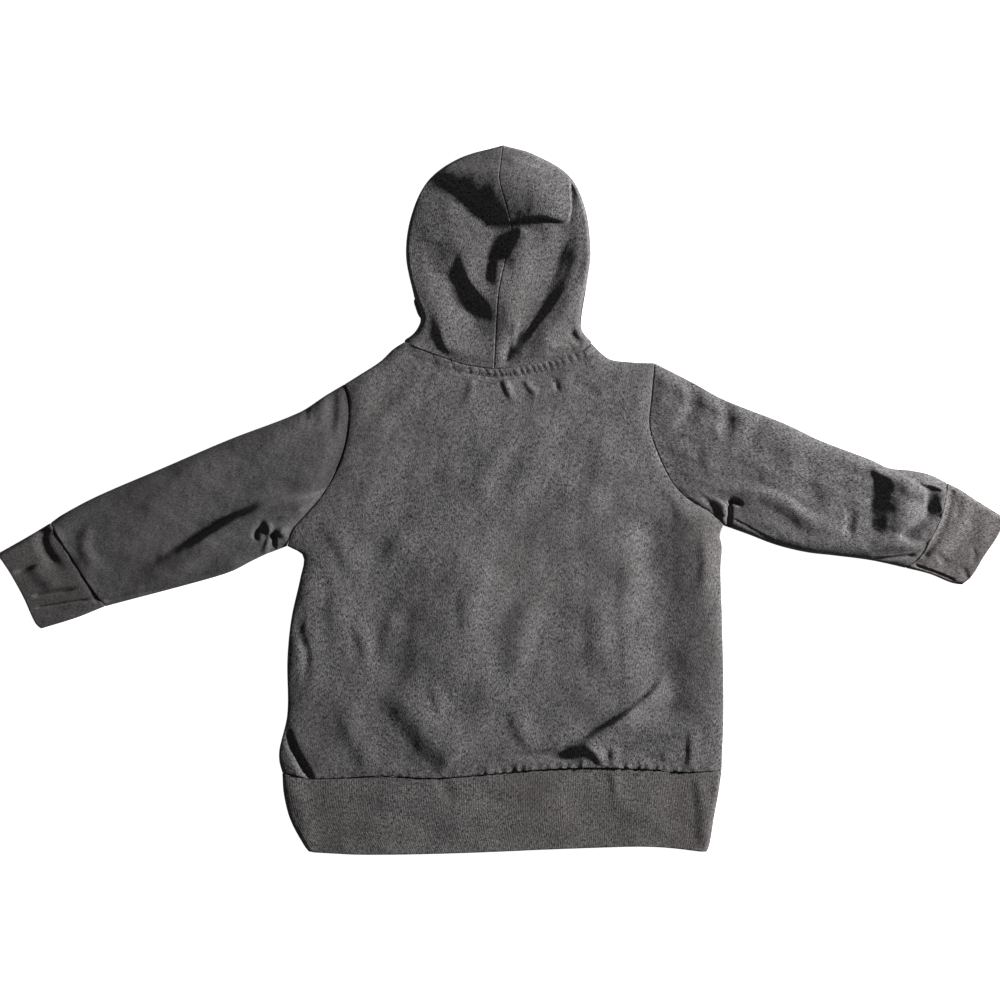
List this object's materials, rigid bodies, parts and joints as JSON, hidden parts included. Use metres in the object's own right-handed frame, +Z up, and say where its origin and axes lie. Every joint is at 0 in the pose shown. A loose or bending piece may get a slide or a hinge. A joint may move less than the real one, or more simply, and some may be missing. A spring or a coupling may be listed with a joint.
{
  "type": "toddler hoodie",
  "caption": "Toddler's plain charcoal pullover hoodie laid flat with its back up, hood collapsed above the shoulders, ribbed cuffs and hem band.",
  "frame": {"origin": "centre of the bounding box at the surface the garment lies on", "axes": "+X to the wearer's right along the spread sleeves, +Y from the hem to the hood, +Z up from the surface, out of the back panel"},
  "size_m": [0.767, 0.541, 0.0277],
  "materials": {
    "sweatshirt_cloth": "brushed, washed charcoal sweatshirt cloth",
    "rib_knit": "washed charcoal 1x1 rib knit"
  },
  "bodies": {
    "root": {"back_panel": "sweatshirt_cloth", "front_panel": "sweatshirt_cloth", "left_sleeve": "sweatshirt_cloth", "right_sleeve": "sweatshirt_cloth", "left_cuff": "rib_knit", "right_cuff": "rib_knit", "hem_band": "rib_knit", "hood_left": "sweatshirt_cloth", "hood_right": "sweatshirt_cloth"}
  },
  "joints": []
}
